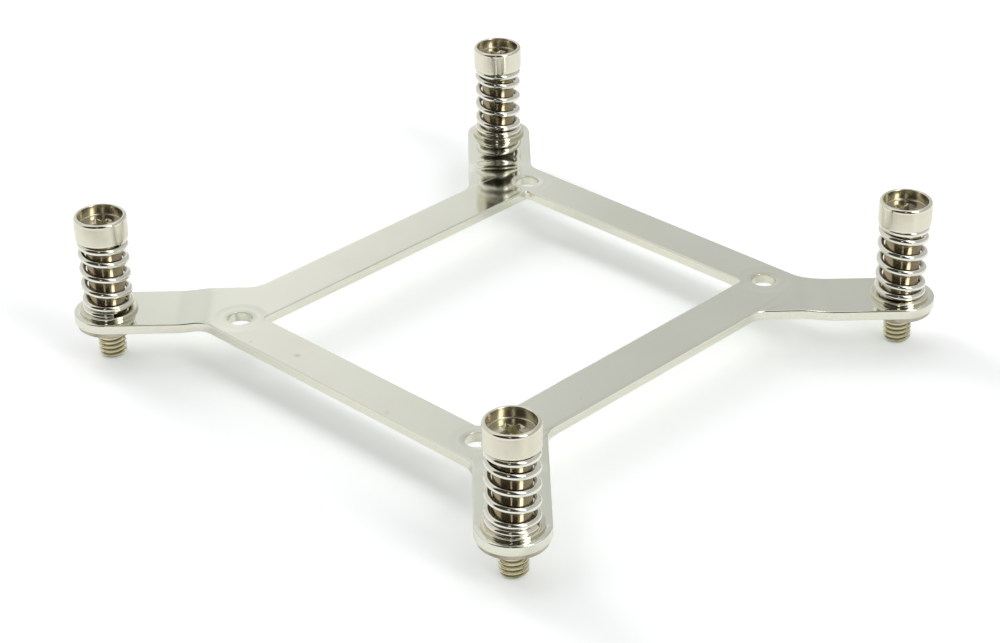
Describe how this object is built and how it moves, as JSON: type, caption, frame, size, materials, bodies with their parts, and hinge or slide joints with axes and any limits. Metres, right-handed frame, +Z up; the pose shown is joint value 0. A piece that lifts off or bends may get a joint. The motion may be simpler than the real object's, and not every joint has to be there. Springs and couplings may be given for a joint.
{
  "type": "cpu cooler mounting bracket",
  "caption": "Flat stamped frame with a rectangular window and diagonal arms; a captive cup-head spring screw in each arm end clamps a cooling block onto a processor socket.",
  "frame": {"origin": "under the middle of the frame, at the level of the screw tips it stands on", "axes": "+Z up along the screws, from their tips to their heads; X along the window's long side"},
  "size_m": [0.09, 0.09, 0.0223],
  "materials": {
    "plate_nickel": "bright nickel plate, satin",
    "screw_nickel": "polished nickel plate",
    "spring_nickel": "polished nickel plate",
    "clip_steel": "plain spring steel"
  },
  "bodies": {
    "plate": {"mounting_plate": "plate_nickel"},
    "left_spring_set": {"left_spring": "spring_nickel", "left_washer": "screw_nickel"},
    "left_screw_set": {"left_screw": "screw_nickel", "left_clip": "clip_steel"},
    "front_spring_set": {"front_spring": "spring_nickel", "front_washer": "screw_nickel"},
    "front_screw_set": {"front_screw": "screw_nickel", "front_clip": "clip_steel"},
    "right_spring_set": {"right_spring": "spring_nickel", "right_washer": "screw_nickel"},
    "right_screw_set": {"right_screw": "screw_nickel", "right_clip": "clip_steel"},
    "rear_spring_set": {"rear_spring": "spring_nickel", "rear_washer": "screw_nickel"},
    "rear_screw_set": {"rear_screw": "screw_nickel", "rear_clip": "clip_steel"}
  },
  "joints": [
    {"name": "left_screw_turn", "type": "hinge", "parent": "plate", "child": "left_spring_set", "pos_m": [-0.04, 0.04, 0.0077], "axis": [0, 0, 1], "continuous": true},
    {"name": "left_screw_press", "type": "slide", "parent": "left_spring_set", "child": "left_screw_set", "axis": [0, 0, 1], "range_m": [-0.004, 0], "stiffness_N_per_m": 11000, "springref_m": 0.0005, "deforming": ["left_spring"]},
    {"name": "front_screw_turn", "type": "hinge", "parent": "plate", "child": "front_spring_set", "pos_m": [-0.04, -0.04, 0.0077], "axis": [0, 0, 1], "continuous": true},
    {"name": "front_screw_press", "type": "slide", "parent": "front_spring_set", "child": "front_screw_set", "axis": [0, 0, 1], "range_m": [-0.004, 0], "stiffness_N_per_m": 11000, "springref_m": 0.0005, "deforming": ["front_spring"]},
    {"name": "right_screw_turn", "type": "hinge", "parent": "plate", "child": "right_spring_set", "pos_m": [0.04, -0.04, 0.0077], "axis": [0, 0, 1], "continuous": true},
    {"name": "right_screw_press", "type": "slide", "parent": "right_spring_set", "child": "right_screw_set", "axis": [0, 0, 1], "range_m": [-0.004, 0], "stiffness_N_per_m": 11000, "springref_m": 0.0005, "deforming": ["right_spring"]},
    {"name": "rear_screw_turn", "type": "hinge", "parent": "plate", "child": "rear_spring_set", "pos_m": [0.04, 0.04, 0.0077], "axis": [0, 0, 1], "continuous": true},
    {"name": "rear_screw_press", "type": "slide", "parent": "rear_spring_set", "child": "rear_screw_set", "axis": [0, 0, 1], "range_m": [-0.004, 0], "stiffness_N_per_m": 11000, "springref_m": 0.0005, "deforming": ["rear_spring"]}
  ]
}
